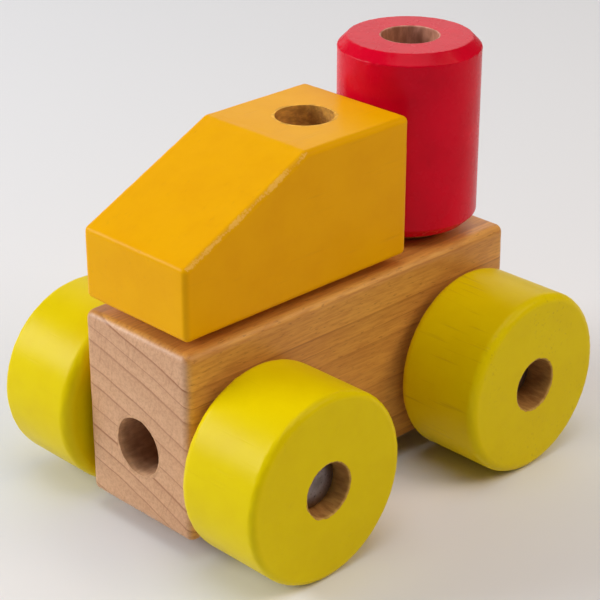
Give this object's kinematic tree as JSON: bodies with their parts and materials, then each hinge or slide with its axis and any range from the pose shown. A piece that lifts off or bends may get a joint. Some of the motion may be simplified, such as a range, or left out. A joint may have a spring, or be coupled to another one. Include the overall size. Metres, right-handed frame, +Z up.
{
  "type": "toy road roller",
  "caption": "Wooden toy road roller: beech chassis on wide yellow wheels, with an orange cab block and a red chimney block that turn on and lift off their pegs.",
  "frame": {"origin": "on the ground, under the middle of the chassis", "axes": "+Z up, the nose of the cab faces -Y, the axles lie along X"},
  "size_m": [0.074, 0.099, 0.0859],
  "materials": {
    "beech": "clear satin varnish over visible grain",
    "orange_paint": "satin orange-yellow paint on beech",
    "red_paint": "gloss red paint on beech",
    "yellow_paint": "satin yellow paint on beech",
    "bright_steel": "drawn bright steel",
    "plated_steel": "dull plated spring steel"
  },
  "bodies": {
    "chassis": {"chassis_block": "beech", "front_axle": "bright_steel", "rear_axle": "bright_steel", "front_left_washer": "bright_steel", "front_right_washer": "bright_steel", "rear_left_washer": "bright_steel", "rear_right_washer": "bright_steel", "front_left_cap": "plated_steel", "front_right_cap": "plated_steel", "rear_left_cap": "plated_steel", "rear_right_cap": "plated_steel"},
    "front_left_wheel": {"front_left_wheel": "yellow_paint"},
    "front_right_wheel": {"front_right_wheel": "yellow_paint"},
    "rear_left_wheel": {"rear_left_wheel": "yellow_paint"},
    "rear_right_wheel": {"rear_right_wheel": "yellow_paint"},
    "cab_peg": {"cab_peg": "beech"},
    "cab": {"cab_block": "orange_paint"},
    "chimney_peg": {"chimney_peg": "beech"},
    "chimney": {"chimney_block": "red_paint"}
  },
  "joints": [
    {"name": "front_left_roll", "type": "hinge", "parent": "chassis", "child": "front_left_wheel", "pos_m": [0.0269, -0.03, 0.0195], "axis": [1, 0, 0], "continuous": true},
    {"name": "front_right_roll", "type": "hinge", "parent": "chassis", "child": "front_right_wheel", "pos_m": [-0.0269, -0.03, 0.0195], "axis": [1, 0, 0], "continuous": true},
    {"name": "rear_left_roll", "type": "hinge", "parent": "chassis", "child": "rear_left_wheel", "pos_m": [0.0269, 0.03, 0.0195], "axis": [1, 0, 0], "continuous": true},
    {"name": "rear_right_roll", "type": "hinge", "parent": "chassis", "child": "rear_right_wheel", "pos_m": [-0.0269, 0.03, 0.0195], "axis": [1, 0, 0], "continuous": true},
    {"name": "cab_turn", "type": "hinge", "parent": "chassis", "child": "cab_peg", "pos_m": [0, 0, 0.0445], "axis": [0, 0, 1], "range_deg": [-11.5, 11.5]},
    {"name": "cab_lift", "type": "slide", "parent": "cab_peg", "child": "cab", "axis": [0, 0, 1], "range_m": [0, 0.016]},
    {"name": "chimney_turn", "type": "hinge", "parent": "chassis", "child": "chimney_peg", "pos_m": [0, 0.03, 0.0445], "axis": [0, 0, 1], "continuous": true},
    {"name": "chimney_lift", "type": "slide", "parent": "chimney_peg", "child": "chimney", "axis": [0, 0, 1], "range_m": [0, 0.016]}
  ]
}
